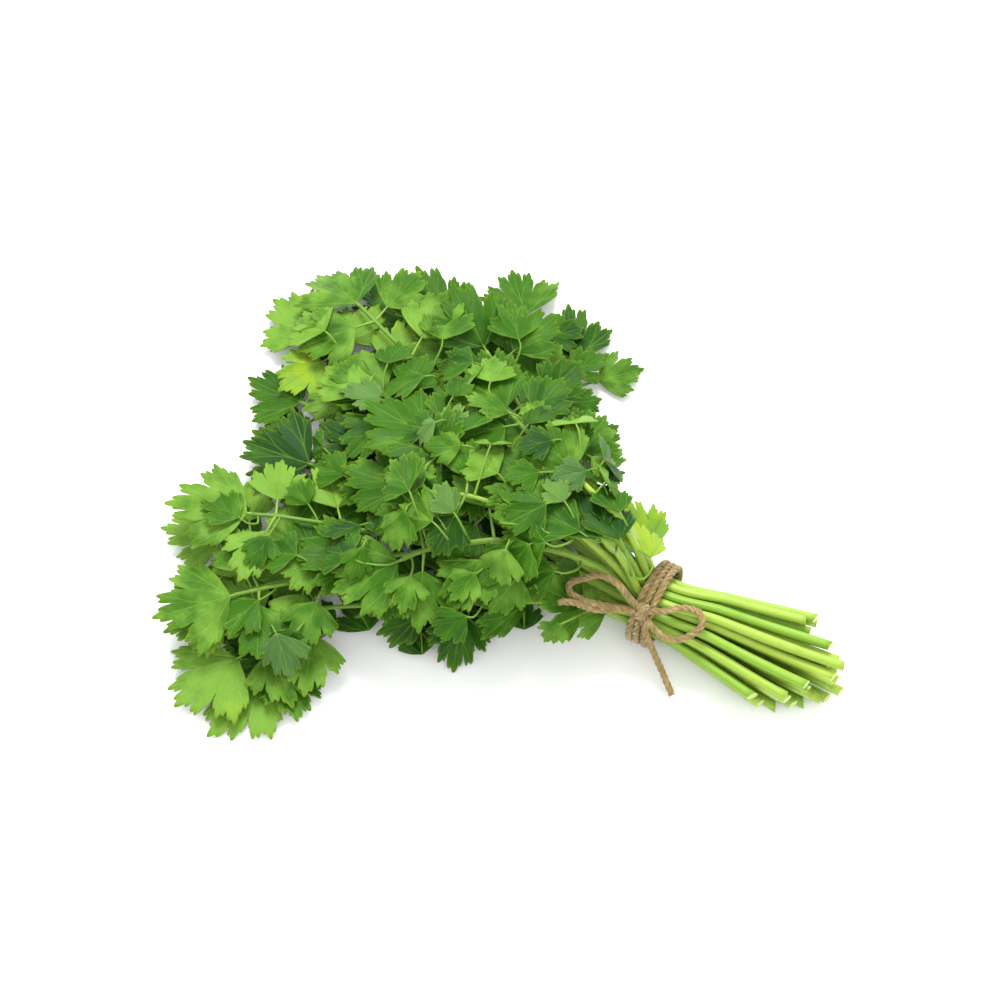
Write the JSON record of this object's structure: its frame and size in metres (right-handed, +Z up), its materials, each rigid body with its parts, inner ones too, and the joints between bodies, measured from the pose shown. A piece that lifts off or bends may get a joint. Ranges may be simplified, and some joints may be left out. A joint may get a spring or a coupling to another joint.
{
  "type": "coriander bunch",
  "caption": "Bunch of fresh coriander lying on its side, leafy head fanned out, stems cut square and tied with jute twine in a bow.",
  "frame": {"origin": "on the surface the bunch lies on, under the middle of the twine tie", "axes": "+X along the bunch towards the cut stem ends, +Z up from the surface, +Y to the side away from the bow"},
  "size_m": [0.264, 0.2271, 0.0639],
  "materials": {
    "leafy_green": "soft satin leaf, mid green on top and greyish green beneath, stems pale yellow green",
    "jute_twine": "dry twisted jute fibre, tan brown"
  },
  "bodies": {
    "root": {"leafy_stem_01": "leafy_green", "leafy_stem_02": "leafy_green", "leafy_stem_03": "leafy_green", "leafy_stem_04": "leafy_green", "leafy_stem_05": "leafy_green", "leafy_stem_06": "leafy_green", "leafy_stem_07": "leafy_green", "leafy_stem_08": "leafy_green", "leafy_stem_09": "leafy_green", "leafy_stem_10": "leafy_green", "leafy_stem_11": "leafy_green", "leafy_stem_12": "leafy_green", "leafy_stem_13": "leafy_green", "leafy_stem_14": "leafy_green", "leafy_stem_15": "leafy_green", "leafy_stem_16": "leafy_green", "leafy_stem_17": "leafy_green", "leafy_stem_18": "leafy_green", "leafy_stem_19": "leafy_green", "leafy_stem_20": "leafy_green", "leafy_stem_21": "leafy_green", "leafy_stem_22": "leafy_green", "leafy_stem_23": "leafy_green", "leafy_stem_24": "leafy_green", "leafy_stem_25": "leafy_green", "leafy_stem_26": "leafy_green", "leafy_stem_27": "leafy_green", "leafy_stem_28": "leafy_green", "leafy_stem_29": "leafy_green", "leafy_stem_30": "leafy_green", "leafy_stem_31": "leafy_green", "leafy_stem_32": "leafy_green", "leafy_stem_33": "leafy_green", "leafy_stem_34": "leafy_green", "leafy_stem_35": "leafy_green", "twine_tie": "jute_twine"}
  },
  "joints": []
}
